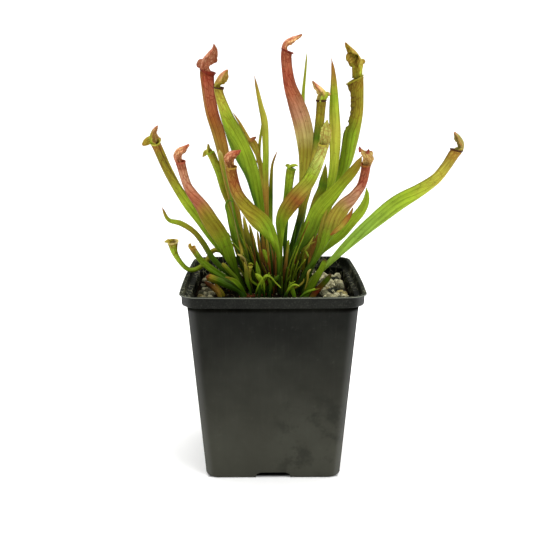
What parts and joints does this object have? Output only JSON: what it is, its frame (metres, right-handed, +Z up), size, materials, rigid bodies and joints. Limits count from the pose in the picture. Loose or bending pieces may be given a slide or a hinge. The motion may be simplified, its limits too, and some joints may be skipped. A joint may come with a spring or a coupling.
{
  "type": "potted pitcher plant",
  "caption": "Trumpet pitcher plant with hooded tubular leaves and narrow blades in a square tapered nursery pot of dark plastic, filled with wet peat and grit.",
  "frame": {"origin": "centre of the pot's underside", "axes": "+Z up, the pictured front of the plant faces -Y, +X to the viewer's right, pot sides along X and Y"},
  "size_m": [0.1864, 0.1128, 0.2734],
  "materials": {
    "pot_plastic": "satin",
    "wet_peat": "matte",
    "pumice_grit": "matte",
    "rhizome_bark": "matte",
    "leaf_green": "satin",
    "leaf_dark_green": "satin",
    "leaf_olive": "satin",
    "leaf_red": "satin",
    "dead_leaf": "matte"
  },
  "bodies": {
    "root": {"pot": "pot_plastic", "soil": "wet_peat", "rhizome": "rhizome_bark", "grit_left": "pumice_grit", "grit_right": "pumice_grit", "grit_front": "pumice_grit", "grit_back": "pumice_grit", "pitcher_tall_red": "leaf_red", "pitcher_left_green": "leaf_green", "pitcher_front_left": "leaf_red", "pitcher_far_left": "leaf_olive", "pitcher_left_pink": "leaf_red", "pitcher_low_over_rim": "leaf_olive", "pitcher_tall_center": "leaf_red", "pitcher_center_olive": "leaf_olive", "pitcher_center_dark": "leaf_dark_green", "pitcher_tall_right": "leaf_olive", "pitcher_right_pink": "leaf_red", "pitcher_far_right": "leaf_green", "pitcher_small_green": "leaf_dark_green", "pitcher_thin_left": "leaf_green", "pitcher_low_left": "leaf_olive", "pitcher_tiny_front": "leaf_green", "leaf_right_broad": "leaf_green", "leaf_right_curved": "leaf_green", "blade_tall_right": "leaf_green", "blade_center_left": "leaf_green", "blade_behind_center": "leaf_green", "blade_dark_right": "leaf_dark_green", "blade_front_right": "leaf_green", "blade_narrow_dark": "leaf_dark_green", "leaf_curled_left": "leaf_olive", "leaf_curled_small": "leaf_green", "leaf_cut_left": "leaf_dark_green", "leaf_short_left": "leaf_green", "leaf_tiny_yellow": "leaf_olive", "leaf_tiny_pointed": "leaf_green", "leaf_tiny_arched": "leaf_green", "leaf_blunt_right": "leaf_green", "leaf_low_right": "leaf_dark_green", "leaf_withered_pale": "leaf_olive", "leaf_tiny_wedge": "leaf_green", "stem_brown_left": "dead_leaf", "stem_brown_center": "dead_leaf", "stem_red_right": "dead_leaf", "leaf_dark_narrow_left": "leaf_dark_green", "leaf_dark_narrow_center": "leaf_dark_green", "leaf_small_center": "leaf_green", "reed_dead": "dead_leaf", "leaf_dead_front": "dead_leaf"}
  },
  "joints": []
}
